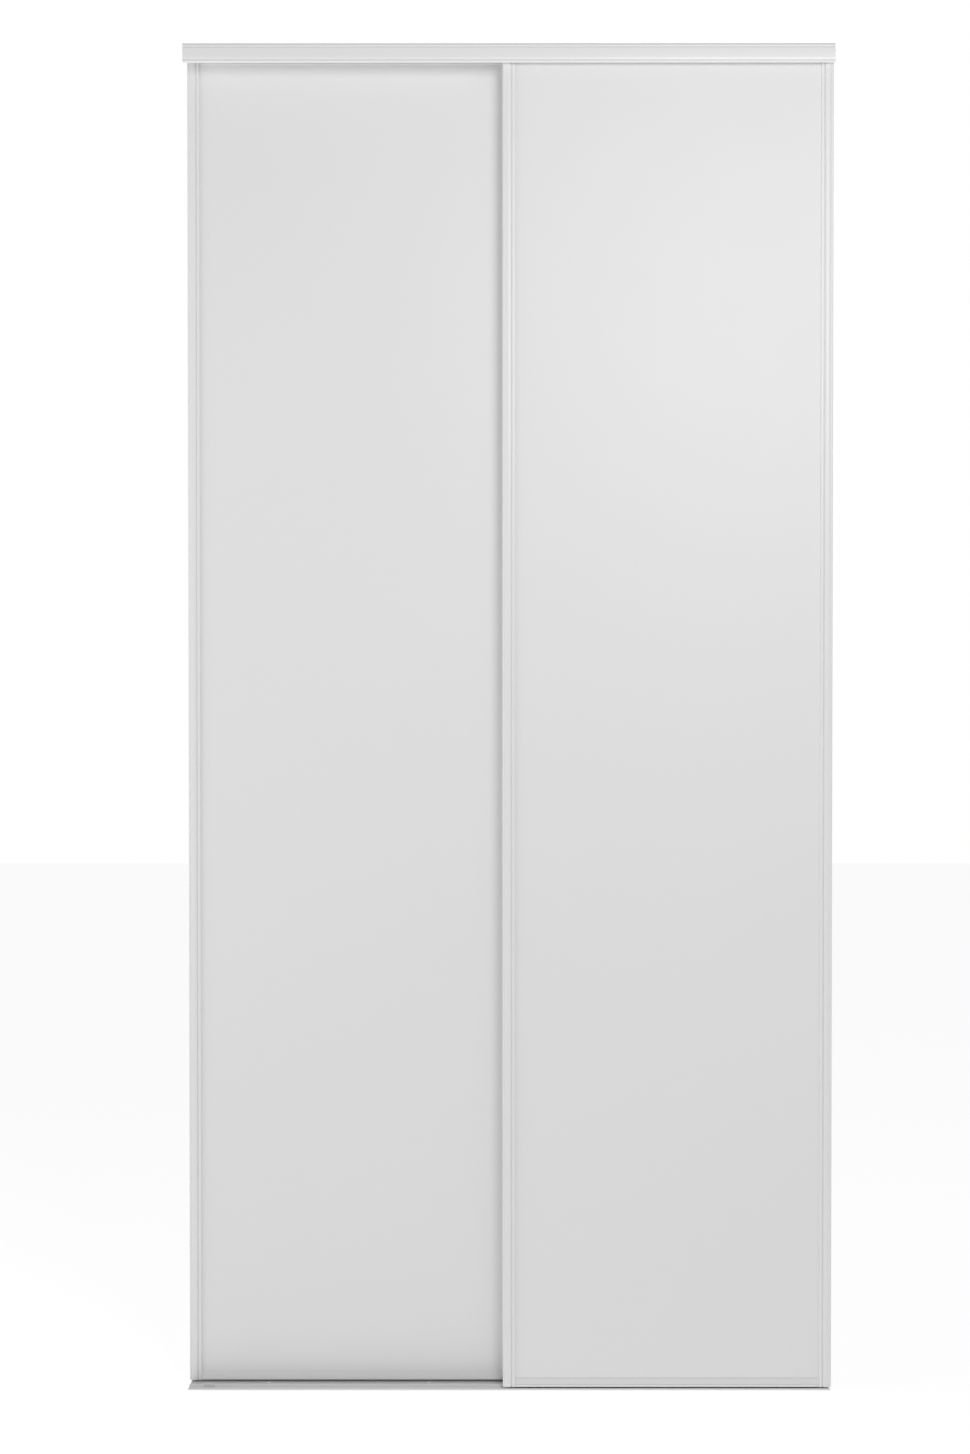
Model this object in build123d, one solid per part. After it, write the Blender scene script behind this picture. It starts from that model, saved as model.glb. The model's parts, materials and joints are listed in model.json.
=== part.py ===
from build123d import *
import os
from math import sqrt

# A pair of framed sliding wardrobe doors in their top and bottom tracks. The front door runs
# in the front channel and is stored to the right, the rear door in the rear channel to the left.
#
# Frame: X to the right, Y to the back, Z up. The origin is on the floor under the middle of
# the top track. All sizes are in millimetres.

# ------------------------------------------------------------------ the opening and its doors
SET_HEIGHT = 2490.0
TRACK_LENGTH = 1200.0
DOOR_WIDTH = 610.0
DOOR_THICKNESS = 30.0
DOOR_BOTTOM = 6.0
DOOR_TOP = 2472.0
DOOR_INSET = 1.0

# ------------------------------------------------------------------------------- the top track
TOP_GAUGE = 1.2
TOP_DEPTH = 86.6
FASCIA_HEIGHT = 35.0
FASCIA_PROUD = 7.0
CHANNEL = 38.0
RETURN_LIP_TOP = 4.5
DIVIDER = 2.4
DIVIDER_HEIGHT = 20.0

# ---------------------------------------------------------------------------- the bottom track
BOTTOM_GAUGE = 1.2
BOTTOM_TRACK_LENGTH = 1193.0
BOTTOM_TRACK_FRONT = -34.5
BOTTOM_TRACK_BACK = 40.3
LIP_HEIGHT = 4.0
BEAD_RADIUS = 4.0
BEAD_CENTRE_Z = 0.4

# ------------------------------------------------------------------------------- the door frame
DOOR_GAUGE = 1.0
STILE_WIDTH = 22.5
PANEL_FRONT = -11.0
PANEL_BACK = -3.0
PANEL_EDGE_IN_STILE = 6.0
PANEL_END_GAP = 1.5
BOTTOM_LIP = 15.2
TOP_LIP = 4.0
BOTTOM_RAIL_HEIGHT = 50.0
TOP_RAIL_HEIGHT = 38.0
# the middle of the pocket behind the panel, where rollers and guides are fitted
POCKET_Y = 5.9
POCKET_HALF = 7.9

# ------------------------------------------------------------- rollers, guides and their travel
ROLLER_FROM_EDGE = 54.0
WHEEL_RADIUS = 12.0
WHEEL_HALF_WIDTH = 3.7
TREAD_HALF_WIDTH = 3.0
RUNNING_GAP = 0.3
FORK_HALF_WIDTH = 5.5
FORK_INNER_HALF = 4.0
FORK_HALF_LENGTH = 13.0
AXLE_RADIUS = 2.5
BEARING_RADIUS = 8.0
ADJUSTER_RADIUS = 2.95
ADJUSTER_HEAD_RADIUS = 4.5
GUIDE_FROM_EDGE = 60.0
SHOE_HALF_WIDTH = 18.5
SHOE_LENGTH = 40.0
SHOE_HEIGHT = 5.0
SHOE_LIFT = 5.3
SHOE_FLOOR = 2.5
BLOCK_LENGTH = 60.0
BLOCK_HALF_WIDTH = 7.7
BLOCK_FROM_EDGE = 24.0

# ------------------------------------------------------------------------------------ fasteners
SCREW_RADIUS = 2.0
SCREW_HEAD_RADIUS = 3.5
SCREW_HEAD_HEIGHT = 2.0
SCREW_HOLE_RADIUS = 2.02
TRACK_HOLE_RADIUS = 2.25
TRACK_HOLE_XS = (-450.0, -150.0, 150.0, 450.0)

# --------------------------------------------------------------------------- worked-out places
TRACK_FRONT = -TOP_DEPTH / 2
FRONT_CHANNEL_Y = TRACK_FRONT + FASCIA_PROUD + CHANNEL / 2
DIVIDER_Y = FRONT_CHANNEL_Y + CHANNEL / 2 + DIVIDER / 2
REAR_CHANNEL_Y = DIVIDER_Y + DIVIDER / 2 + CHANNEL / 2
BEAD_YS = (FRONT_CHANNEL_Y + POCKET_Y, REAR_CHANNEL_Y + POCKET_Y)
BETWEEN_BEADS_Y = sum(BEAD_YS) / 2
DOOR_HEIGHT = DOOR_TOP - DOOR_BOTTOM
HALF_DOOR = DOOR_WIDTH / 2
DOOR_X = TRACK_LENGTH / 2 - DOOR_INSET - HALF_DOOR
ROLLER_X = -HALF_DOOR + ROLLER_FROM_EDGE
GUIDE_X = -HALF_DOOR + GUIDE_FROM_EDGE
BLOCK_X = -HALF_DOOR + BLOCK_FROM_EDGE + BLOCK_LENGTH / 2

# the wheel's hollow tread follows the bead with a small gap, so its rim hangs below the crown
TREAD_RADIUS = BEAD_RADIUS + RUNNING_GAP
TREAD_DEPTH = TREAD_RADIUS - sqrt(TREAD_RADIUS**2 - TREAD_HALF_WIDTH**2)
BEAD_TOP = BEAD_CENTRE_Z + BEAD_RADIUS
WHEEL_Z = BEAD_TOP + RUNNING_GAP + WHEEL_RADIUS - TREAD_DEPTH - DOOR_BOTTOM


def sheet_section(points, radii, gauge):
    """Section of a roll-formed sheet: its middle line runs through the points, with round bends."""
    return trace(FilletPolyline(*points, radius=radii), line_width=gauge)


def along_x(section, start, length):
    """Extrude a section drawn in (y, z) along X."""
    return extrude(Plane.YZ.offset(start) * section, amount=length, dir=(1, 0, 0))


def along_z(section, start, length):
    """Extrude a section drawn in (x, y) along Z."""
    return extrude(Plane.XY.offset(start) * section, amount=length, dir=(0, 0, 1))


def box_between(low, high):
    """A box from its lowest corner to its highest corner."""
    size = [b - a for a, b in zip(low, high)]
    centre = [(a + b) / 2 for a, b in zip(low, high)]
    return Pos(*centre) * Box(*size)


def rod(radius, start, end):
    """A round rod between two points."""
    path = Vector(*end) - Vector(*start)
    return extrude(Plane(start, z_dir=path) * Circle(radius), amount=path.length)


def turned(points, centre):
    """A turned piece about a Y axis through the centre, from (radius, y) points of its half section."""
    section = make_face(Polyline(*[(r, y) for r, y in points], close=True))
    about_y = revolve(section, Axis.Y)
    return Pos(*centre) * about_y


def screw(radius, length, head_radius, head_height, seat, outwards):
    """A pan-head screw with a cross recess. Its head sits at the seat and faces outwards."""
    head = Pos(0, 0, head_height / 2) * Cylinder(head_radius, head_height)
    head = fillet(head.edges().sort_by(Axis.Z)[-1], head_height * 0.55)
    shank = Pos(0, 0, -length / 2) * Cylinder(radius, length)
    shank = chamfer(shank.edges().sort_by(Axis.Z)[0], radius * 0.5)
    arm = head_radius * 1.1
    slot = head_radius * 0.24
    depth = head_height * 0.5
    cross = Box(arm, slot, depth * 2) + Box(slot, arm, depth * 2)
    whole = head + shank - Pos(0, 0, head_height) * cross
    return Plane(seat, z_dir=outwards) * whole


# ==================================================================================== the tracks
def top_track():
    """One roll-formed E section: fascia with a return lip, divider and rear wall under a web."""
    mid = TOP_GAUGE / 2
    face = TRACK_FRONT + mid
    bottom = -FASCIA_HEIGHT + mid
    lip = TRACK_FRONT + FASCIA_PROUD - mid
    front = sheet_section(
        [
            (lip, -RETURN_LIP_TOP),
            (lip, bottom),
            (face, bottom),
            (face, bottom + 2.3),
            (face + 1.0, bottom + 3.6),
            (face, -26.5),
            (face, -8.2),
            (face + 1.8, -6.9),
            (face + 0.5, -5.8),
            (face + 0.5, -mid),
            (DIVIDER_Y, -mid),
        ],
        [1.0, 1.3, 0.7, 0.7, 4.0, 0.7, 0.65, 0.65, 3.0],
        TOP_GAUGE,
    )
    back = -TRACK_FRONT - mid
    rear = sheet_section(
        [(DIVIDER_Y, -mid), (back, -mid), (back, -FASCIA_HEIGHT)],
        [1.6],
        TOP_GAUGE,
    )
    # the divider is one fold of the sheet, pressed flat and rounded at its lower edge. It is
    # shorter than the fascia, because it only has to part the two doors' guide shoes
    fold_radius = DIVIDER / 2
    fold_end = -DIVIDER_HEIGHT + fold_radius
    divider = Pos(DIVIDER_Y, fold_end / 2) * Rectangle(DIVIDER, -fold_end)
    divider += Pos(DIVIDER_Y, fold_end) * Circle(fold_radius)
    track = along_x(front + rear + divider, -TRACK_LENGTH / 2, TRACK_LENGTH)
    track = Pos(0, 0, SET_HEIGHT) * track
    for x in TRACK_HOLE_XS:
        for y in (FRONT_CHANNEL_Y, REAR_CHANNEL_Y):
            track -= rod(TRACK_HOLE_RADIUS, (x, y, SET_HEIGHT - 5), (x, y, SET_HEIGHT + 5))
    return track


def bead_outline(radius, y):
    """A running bead's outline: a half circle that stands on two short legs."""
    legs = Pos(y, BEAD_CENTRE_Z / 2 - 0.5) * Rectangle(2 * radius, BEAD_CENTRE_Z + 1.0)
    return Pos(y, BEAD_CENTRE_Z) * Circle(radius) + legs


def bottom_track():
    """A low flat track with a rolled lip on each side and a half-round bead under each door."""
    mid = BOTTOM_GAUGE / 2
    front = BOTTOM_TRACK_FRONT + mid
    back = BOTTOM_TRACK_BACK - mid
    lip_top = LIP_HEIGHT - mid
    section = sheet_section(
        [
            (front + 2.6, lip_top - 1.5),
            (front + 2.6, lip_top),
            (front, lip_top),
            (front, mid),
            (back, mid),
            (back, lip_top),
            (back - 2.6, lip_top),
            (back - 2.6, lip_top - 1.5),
        ],
        [1.1, 1.1, 1.1, 1.1, 1.1, 1.1],
        BOTTOM_GAUGE,
    )
    above_floor = Pos(0, 25) * Rectangle(200, 50)
    for y in BEAD_YS:
        section += bead_outline(BEAD_RADIUS, y) & above_floor
        section -= bead_outline(BEAD_RADIUS - BOTTOM_GAUGE, y)
    track = along_x(section, -BOTTOM_TRACK_LENGTH / 2, BOTTOM_TRACK_LENGTH)
    for x in TRACK_HOLE_XS:
        track -= rod(TRACK_HOLE_RADIUS, (x, BETWEEN_BEADS_Y, -5), (x, BETWEEN_BEADS_Y, 5))
    return track


def track_stop(side, bead_y):
    """A moulded stop that clips over a bead. Its hollow face takes the rim of the last wheel."""
    wheel_x = DOOR_X + HALF_DOOR - ROLLER_FROM_EDGE
    inner, outer = wheel_x + 4.0, wheel_x + 24.0
    top = 5.2
    half_width = 7.0
    block = box_between((inner, bead_y - half_width, BOTTOM_GAUGE), (outer, bead_y + half_width, top))
    block = chamfer(block.edges().group_by(Axis.Z)[-1], 0.6)
    bead = along_x(bead_outline(BEAD_RADIUS + 0.05, bead_y), inner - 1, outer - inner + 2)
    rim_z = WHEEL_Z + DOOR_BOTTOM
    rim = rod(WHEEL_RADIUS + 0.35, (wheel_x, bead_y - 20, rim_z), (wheel_x, bead_y + 20, rim_z))
    stop = block - bead - rim
    return stop if side > 0 else mirror(stop, about=Plane.YZ)


# ============================================================================= the door's frame
# Each door is built about its own middle: x = 0 at mid width, y = 0 at mid thickness and z = 0
# at its bottom edge. Pieces named for the left are mirrored to give those on the right.
def left_stile():
    """A roll-formed C section with a ribbed face, open towards the panel."""
    mid = DOOR_GAUGE / 2
    front = -DOOR_THICKNESS / 2 + mid
    back = DOOR_THICKNESS / 2 - mid
    inner = STILE_WIDTH - mid
    recess_low = POCKET_Y - 5.0
    recess_high = POCKET_Y + 5.0
    section = sheet_section(
        [
            (inner, PANEL_FRONT - 0.05),
            (inner, front + 0.6),
            (17.9, front + 0.3),
            (16.9, front + 2.6),
            (15.4, front + 2.6),
            (14.6, front + 0.6),
            (12.2, front),
            (7.2, front),
            (4.8, front + 0.6),
            (4.2, front + 1.3),
            (3.5, front + 0.6),
            (mid, front + 0.6),
            (mid, recess_low - 0.5),
            (3.7, recess_low),
            (3.7, recess_high),
            (mid, recess_high + 0.5),
            (mid, back),
            (inner, back),
            (inner, PANEL_BACK + 0.05),
        ],
        [0.8, 0.6, 0.6, 0.6, 0.6, 3, 3, 0.6, 0.55, 0.6, 1.5, 1, 1, 1, 1, 1.2, 1.5],
        DOOR_GAUGE,
    )
    stile = Pos(-HALF_DOOR, 0, 0) * along_z(section, 0, DOOR_HEIGHT)
    for z in SIDE_SCREW_ZS:
        stile -= rod(SCREW_HOLE_RADIUS, (-HALF_DOOR - 5, POCKET_Y, z), (-HALF_DOOR + 30, POCKET_Y, z))
    return stile


def bottom_rail():
    """A rolled lip in front of the panel, a floor under it and a pocket for the rollers behind it."""
    mid = DOOR_GAUGE / 2
    front = -DOOR_THICKNESS / 2 + mid
    pocket_front = POCKET_Y - POCKET_HALF - mid
    pocket_back = POCKET_Y + POCKET_HALF + mid
    top = BOTTOM_RAIL_HEIGHT - mid
    section = sheet_section(
        [
            (PANEL_FRONT - 0.55, BOTTOM_LIP),
            (PANEL_FRONT - 1.9, 5.2),
            (front, 4.0),
            (front, mid),
            (pocket_front, mid),
            (pocket_front, top),
            (pocket_back, top),
            (pocket_back, mid),
        ],
        [0.9, 0.9, 1.3, 1.0, 1.5, 1.5],
        DOOR_GAUGE,
    )
    length = DOOR_WIDTH - 2 * STILE_WIDTH
    rail = along_x(section, -length / 2, length)
    for side in (-1, 1):
        x = -side * ROLLER_X
        rail -= rod(ADJUSTER_RADIUS + 0.35, (x, POCKET_Y, top - 5), (x, POCKET_Y, top + 5))
        x = -side * REAR_SCREW_X
        rail -= rod(SCREW_HOLE_RADIUS, (x, 10, BOTTOM_REAR_SCREW_Z), (x, 20, BOTTOM_REAR_SCREW_Z))
    return rail


def top_rail():
    """A short lip over the panel's top edge and an open pocket for the guides behind it."""
    mid = DOOR_GAUGE / 2
    pocket_front = POCKET_Y - POCKET_HALF - mid
    pocket_back = POCKET_Y + POCKET_HALF + mid
    floor = -TOP_RAIL_HEIGHT + mid
    section = sheet_section(
        [
            (PANEL_FRONT - 0.55, -TOP_LIP),
            (PANEL_FRONT - 0.55, -mid),
            (pocket_front, -mid),
            (pocket_front, floor),
            (pocket_back, floor),
            (pocket_back, 0),
        ],
        [1.0, 1.0, 1.5, 1.5],
        DOOR_GAUGE,
    )
    length = DOOR_WIDTH - 2 * STILE_WIDTH
    rail = Pos(0, 0, DOOR_HEIGHT) * along_x(section, -length / 2, length)
    for side in (-1, 1):
        x = -side * REAR_SCREW_X
        rail -= rod(SCREW_HOLE_RADIUS, (x, 10, TOP_REAR_SCREW_Z), (x, 20, TOP_REAR_SCREW_Z))
    return rail


def panel():
    """One board from stile to stile, its edges held inside the frame."""
    half = HALF_DOOR - PANEL_EDGE_IN_STILE
    return box_between(
        (-half, PANEL_FRONT, PANEL_END_GAP),
        (half, PANEL_BACK, DOOR_HEIGHT - PANEL_END_GAP),
    )


# the frame is screwed together through the stiles and through the back of each rail, into the
# moulded blocks that fill the ends of the rails' pockets
REAR_SCREW_X = -HALF_DOOR + 31.0
BOTTOM_SIDE_SCREW_Z = 27.0
BOTTOM_REAR_SCREW_Z = 40.0
TOP_SIDE_SCREW_Z = DOOR_HEIGHT - 27.0
TOP_REAR_SCREW_Z = DOOR_HEIGHT - 12.0
SIDE_SCREW_ZS = (BOTTOM_SIDE_SCREW_Z, TOP_SIDE_SCREW_Z)
SIDE_SCREW_SEAT = -HALF_DOOR + 3.2
SIDE_SCREW_LENGTH = 32.0
REAR_SCREW_SEAT = POCKET_Y + POCKET_HALF + DOOR_GAUGE
REAR_SCREW_LENGTH = 9.5


def frame_screws():
    """The eight screws of one door's frame."""
    side_screw = screw(
        SCREW_RADIUS, SIDE_SCREW_LENGTH, SCREW_HEAD_RADIUS, SCREW_HEAD_HEIGHT, (0, 0, 0), (-1, 0, 0)
    )
    rear_screw = screw(
        SCREW_RADIUS, REAR_SCREW_LENGTH, SCREW_HEAD_RADIUS, SCREW_HEAD_HEIGHT, (0, 0, 0), (0, 1, 0)
    )
    left = [Pos(SIDE_SCREW_SEAT, POCKET_Y, z) * side_screw for z in SIDE_SCREW_ZS]
    for z in (BOTTOM_REAR_SCREW_Z, TOP_REAR_SCREW_Z):
        left.append(Pos(REAR_SCREW_X, REAR_SCREW_SEAT, z) * rear_screw)
    right = [mirror(s, about=Plane.YZ) for s in left]
    return Compound(children=[s.solid() for s in left + right])


def screwed_block(low_z, high_z, side_screw_z, rear_screw_z):
    """A moulded block for a rail's pocket with pilot holes for its two screws."""
    half = BLOCK_LENGTH / 2
    block = box_between(
        (BLOCK_X - half, POCKET_Y - BLOCK_HALF_WIDTH, low_z),
        (BLOCK_X + half, POCKET_Y + BLOCK_HALF_WIDTH, high_z),
    )
    block = chamfer(block.edges().filter_by(Axis.Z), 0.8)
    block = chamfer(block.edges().filter_by(Axis.X), 0.9)
    end = BLOCK_X - half
    block -= rod(SCREW_HOLE_RADIUS, (end - 1, POCKET_Y, side_screw_z), (end + 14, POCKET_Y, side_screw_z))
    block -= rod(SCREW_HOLE_RADIUS, (REAR_SCREW_X, 20, rear_screw_z), (REAR_SCREW_X, 4.5, rear_screw_z))
    return block


# ============================================================================== roller carriages
HOUSING_BOTTOM = 18.0
HOUSING_TOP = BOTTOM_RAIL_HEIGHT - DOOR_GAUGE
HOUSING_ROOF = 41.0
FORK_BOTTOM = 3.5
FORK_BRIDGE = 30.0
FORK_TOP = 38.0
ADJUSTER_END = 23.0
ADJUSTER_SEAT = BOTTOM_RAIL_HEIGHT + 0.1
COLLAR_BOTTOM = 39.2
COLLAR_TOP = 40.7


def roller_housing():
    """The block in the bottom rail that guides one fork and holds its adjusting screw."""
    block = screwed_block(HOUSING_BOTTOM, HOUSING_TOP, BOTTOM_SIDE_SCREW_Z, BOTTOM_REAR_SCREW_Z)
    half_length = FORK_HALF_LENGTH + 0.6
    half_width = FORK_HALF_WIDTH + RUNNING_GAP
    well = box_between(
        (ROLLER_X - half_length, POCKET_Y - half_width, HOUSING_BOTTOM - 1),
        (ROLLER_X + half_length, POCKET_Y + half_width, HOUSING_ROOF),
    )
    shaft = rod(ADJUSTER_RADIUS + 0.05, (ROLLER_X, POCKET_Y, HOUSING_ROOF - 1), (ROLLER_X, POCKET_Y, 60))
    return block - well - shaft


def fork():
    """A bent steel fork with a threaded bridge above the wheel."""
    low = (ROLLER_X - FORK_HALF_LENGTH, POCKET_Y - FORK_HALF_WIDTH, FORK_BOTTOM)
    high = (ROLLER_X + FORK_HALF_LENGTH, POCKET_Y + FORK_HALF_WIDTH, FORK_TOP)
    body = box_between(low, high)
    corners = body.edges().filter_by(Axis.Y)
    body = fillet(corners.group_by(Axis.Z)[0], 8.0)
    body = fillet(body.edges().filter_by(Axis.X).group_by(Axis.Z)[-1], 1.2)
    gap = box_between(
        (low[0] - 1, POCKET_Y - FORK_INNER_HALF, FORK_BOTTOM - 1),
        (high[0] + 1, POCKET_Y + FORK_INNER_HALF, FORK_BRIDGE),
    )
    thread = rod(ADJUSTER_RADIUS + 0.05, (ROLLER_X, POCKET_Y, FORK_BRIDGE - 1), (ROLLER_X, POCKET_Y, 60))
    pin = rod(AXLE_RADIUS + 0.02, (ROLLER_X, POCKET_Y - 10, WHEEL_Z), (ROLLER_X, POCKET_Y + 10, WHEEL_Z))
    return body - gap - thread - pin


def axle():
    """The pin that is riveted flush into both sides of the fork."""
    pin = rod(
        AXLE_RADIUS,
        (ROLLER_X, POCKET_Y - FORK_HALF_WIDTH, WHEEL_Z),
        (ROLLER_X, POCKET_Y + FORK_HALF_WIDTH, WHEEL_Z),
    )
    return chamfer(pin.edges().filter_by(GeomType.CIRCLE), 0.3)


def bearing():
    """A shielded ball bearing with a long inner ring that spaces the wheel inside the fork."""
    bore = AXLE_RADIUS + 0.03
    outer = BEARING_RADIUS - 0.01
    ring, hub, shield = 2.5, 3.8, 2.2
    return turned(
        [
            (bore, -hub),
            (4.0, -hub),
            (4.0, -shield),
            (6.6, -shield),
            (6.6, -ring),
            (outer, -ring),
            (outer, ring),
            (6.6, ring),
            (6.6, shield),
            (4.0, shield),
            (4.0, hub),
            (bore, hub),
        ],
        (ROLLER_X, POCKET_Y, WHEEL_Z),
    )


def wheel():
    """A nylon tyre whose hollow tread sits over the track's bead."""
    w = WHEEL_HALF_WIDTH
    blank = turned(
        [
            (BEARING_RADIUS, -2.5),
            (WHEEL_RADIUS - 2.6, -2.5),
            (WHEEL_RADIUS - 1.4, -w),
            (WHEEL_RADIUS, -w),
            (WHEEL_RADIUS, w),
            (WHEEL_RADIUS - 1.4, w),
            (WHEEL_RADIUS - 2.6, 2.5),
            (BEARING_RADIUS, 2.5),
        ],
        (0, 0, 0),
    )
    tread_centre = WHEEL_RADIUS - TREAD_DEPTH + TREAD_RADIUS
    tread = revolve(Pos(tread_centre, 0) * Circle(TREAD_RADIUS), Axis.Y)
    return Pos(ROLLER_X, POCKET_Y, WHEEL_Z) * (blank - tread)


def adjuster():
    """The screw that lifts the door on its fork. A collar holds it in the housing."""
    whole = screw(
        ADJUSTER_RADIUS,
        ADJUSTER_SEAT - ADJUSTER_END,
        ADJUSTER_HEAD_RADIUS,
        3.5,
        (ROLLER_X, POCKET_Y, ADJUSTER_SEAT),
        (0, 0, 1),
    )
    collar = rod(ADJUSTER_HEAD_RADIUS, (ROLLER_X, POCKET_Y, COLLAR_BOTTOM), (ROLLER_X, POCKET_Y, COLLAR_TOP))
    return whole + collar


# =================================================================================== top guides
STEM_HALF_LENGTH = 10.0
STEM_HALF_WIDTH = 4.5
STEM_END = -16.0
FLANGE_TOP = -13.0
FLANGE_HALF_LENGTH = 12.0
FLANGE_HALF_WIDTH = 5.9
WELL_FLOOR = -34.0
SPRING_RADIUS = 4.0
SPRING_WIRE = 0.6
SPRING_COILS = 6


def guide_box(half_length, half_width, low, high, y=POCKET_Y):
    """A box about a guide's own upright line, with its heights counted from the door's top."""
    return box_between(
        (GUIDE_X - half_length, y - half_width, DOOR_HEIGHT + low),
        (GUIDE_X + half_length, y + half_width, DOOR_HEIGHT + high),
    )


def guide_housing():
    """The block in the top rail that holds one spring-loaded guide shoe."""
    floor = DOOR_HEIGHT - TOP_RAIL_HEIGHT + DOOR_GAUGE
    block = screwed_block(floor, DOOR_HEIGHT, TOP_SIDE_SCREW_Z, TOP_REAR_SCREW_Z)
    gap = RUNNING_GAP
    stem_well = guide_box(STEM_HALF_LENGTH + gap, STEM_HALF_WIDTH + gap, WELL_FLOOR, 5)
    flange_well = guide_box(FLANGE_HALF_LENGTH + gap, FLANGE_HALF_WIDTH + gap, WELL_FLOOR, FLANGE_TOP + gap)
    return block - stem_well - flange_well


def guide_shoe():
    """A nylon shoe that runs in the top track's channel, on a stem that the spring pushes up."""
    head = guide_box(SHOE_LENGTH / 2, SHOE_HALF_WIDTH, SHOE_LIFT, SHOE_LIFT + SHOE_HEIGHT, y=0)
    head = fillet(head.edges().filter_by(Axis.Z), 7.0)
    head = chamfer(head.edges().group_by(Axis.Z)[-1], 1.5)
    floor_z = SHOE_LIFT + SHOE_FLOOR
    pocket = guide_box(SHOE_LENGTH / 2 - 12, SHOE_HALF_WIDTH - 4, floor_z, SHOE_LIFT + 20, y=0)
    stem = guide_box(STEM_HALF_LENGTH, STEM_HALF_WIDTH, STEM_END, SHOE_LIFT + 1)
    flange = guide_box(FLANGE_HALF_LENGTH, FLANGE_HALF_WIDTH, STEM_END, FLANGE_TOP)
    return head - pocket + stem + flange


def guide_spring():
    """The coil spring under the shoe's stem."""
    height = STEM_END - WELL_FLOOR - 2 * SPRING_WIRE - 0.2
    path = Helix(pitch=height / SPRING_COILS, height=height, radius=SPRING_RADIUS)
    wire = sweep(Plane(path @ 0, z_dir=path % 0) * Circle(SPRING_WIRE), path=path)
    return Pos(GUIDE_X, POCKET_Y, DOOR_HEIGHT + WELL_FLOOR + SPRING_WIRE + 0.1) * wire


# ==================================================================================== write out
os.makedirs("parts", exist_ok=True)


def write(node, shape):
    """Write one named piece to its own STEP file."""
    export_step(shape, f"parts/{node}.step")


write("top_track", top_track())
write("bottom_track", bottom_track())
for door, bead_y in zip(("front", "rear"), BEAD_YS):
    write(f"{door}_stop_left", track_stop(-1, bead_y))
    write(f"{door}_stop_right", track_stop(1, bead_y))

one_off = {
    "door_panel": panel(),
    "bottom_rail": bottom_rail(),
    "top_rail": top_rail(),
    "frame_screws": frame_screws(),
}
handed = {
    "stile": left_stile(),
    "roller_housing": roller_housing(),
    "roller_fork": fork(),
    "roller_axle": axle(),
    "roller_bearing": bearing(),
    "roller_wheel": wheel(),
    "height_adjuster": adjuster(),
    "guide_housing": guide_housing(),
    "guide_shoe": guide_shoe(),
    "guide_spring": guide_spring(),
}
for door, door_x, door_y in (
    ("front", DOOR_X, FRONT_CHANNEL_Y),
    ("rear", -DOOR_X, REAR_CHANNEL_Y),
):
    place = Pos(door_x, door_y, DOOR_BOTTOM)
    for name, shape in one_off.items():
        write(f"{door}_{name}", place * shape)
    for name, shape in handed.items():
        write(f"{door}_left_{name}", place * shape)
        write(f"{door}_right_{name}", place * mirror(shape, about=Plane.YZ))
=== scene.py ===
# %% [markdown]
# A pair of framed sliding wardrobe doors, in a top track with a fascia and a low bottom track.
# The mechanical model is loaded first and stays where it is. Everything that is built here is
# placed from its boxes, in metres, with X to the right, Y to the back and Z up.

# %% Load the frame
import bpy
import bmesh
import json
import math
from mathutils import Matrix, Vector

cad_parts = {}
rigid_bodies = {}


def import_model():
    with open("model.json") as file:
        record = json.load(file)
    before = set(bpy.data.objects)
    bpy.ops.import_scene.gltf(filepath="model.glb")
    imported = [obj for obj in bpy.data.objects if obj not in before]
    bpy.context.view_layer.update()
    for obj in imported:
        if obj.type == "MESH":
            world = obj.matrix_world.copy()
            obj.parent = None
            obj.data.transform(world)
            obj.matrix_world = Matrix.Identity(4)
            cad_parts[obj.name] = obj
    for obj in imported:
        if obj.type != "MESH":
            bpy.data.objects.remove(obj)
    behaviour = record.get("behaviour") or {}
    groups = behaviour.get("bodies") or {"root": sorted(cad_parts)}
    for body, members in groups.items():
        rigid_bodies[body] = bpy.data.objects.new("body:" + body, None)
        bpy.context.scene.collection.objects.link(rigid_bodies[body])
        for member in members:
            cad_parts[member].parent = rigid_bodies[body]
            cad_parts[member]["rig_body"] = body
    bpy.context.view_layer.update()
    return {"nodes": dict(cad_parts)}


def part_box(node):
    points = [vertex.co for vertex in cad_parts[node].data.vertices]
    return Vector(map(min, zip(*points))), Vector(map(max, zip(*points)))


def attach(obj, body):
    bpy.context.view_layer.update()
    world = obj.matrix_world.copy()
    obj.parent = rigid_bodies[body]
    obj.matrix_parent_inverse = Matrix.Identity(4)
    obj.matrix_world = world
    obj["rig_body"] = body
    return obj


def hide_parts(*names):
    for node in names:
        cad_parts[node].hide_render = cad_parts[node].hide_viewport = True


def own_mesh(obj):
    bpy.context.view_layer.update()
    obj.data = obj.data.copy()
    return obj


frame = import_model()
MM = 0.001

# %% [markdown]
# The doors are seen straight on from about their own height and a half away, a little left of
# the middle, with the lens tipped down by less than a degree. A normal lens that far back keeps
# both doors nearly free of perspective, so the thin frame lines stay parallel.

# %% Camera
LENS = 49.66
CAMERA_X = -0.042
CAMERA_BACK = 3.7
CAMERA_HEIGHT = 1.283
TIPPED_DOWN = 0.77
ROLLED = 0.01
TURNED_LEFT = 0.032
fascia_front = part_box("top_track")[0].y
camera_data = bpy.data.cameras.new("camera")
camera_data.lens = LENS
camera_data.sensor_width = 36.0
camera = bpy.data.objects.new("camera", camera_data)
camera.location = (CAMERA_X, fascia_front - CAMERA_BACK, CAMERA_HEIGHT)
camera.rotation_euler = [math.radians(turn) for turn in (90.0 - TIPPED_DOWN, ROLLED, TURNED_LEFT)]
bpy.context.scene.collection.objects.link(camera)
bpy.context.scene.camera = camera
print("camera is", round(fascia_front - camera.location.y, 3), "m in front of the fascia")

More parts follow.
